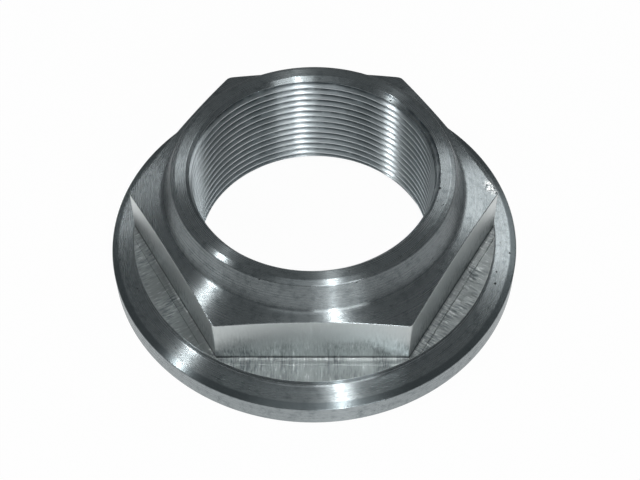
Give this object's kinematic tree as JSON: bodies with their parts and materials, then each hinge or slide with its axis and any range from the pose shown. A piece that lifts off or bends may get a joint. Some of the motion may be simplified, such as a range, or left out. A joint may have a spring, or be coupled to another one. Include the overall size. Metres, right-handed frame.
{
  "type": "flanged hexagon axle nut",
  "caption": "One-piece steel hexagon nut with a broad round flange, a tapered round collar above the flats and a fine right-hand thread right through.",
  "frame": {"origin": "centre of the bore in the plane of the flange's flat bearing face", "axes": "+Z along the bore's axis from the bearing face to the collar's top; two opposite hexagon corners lie on the X axis"},
  "size_m": [0.098, 0.098, 0.0309],
  "materials": {
    "machined_steel": "bare turned and milled steel, lightly oiled, with fine tool marks"
  },
  "bodies": {
    "root": {"flange_nut": "machined_steel"}
  },
  "joints": []
}
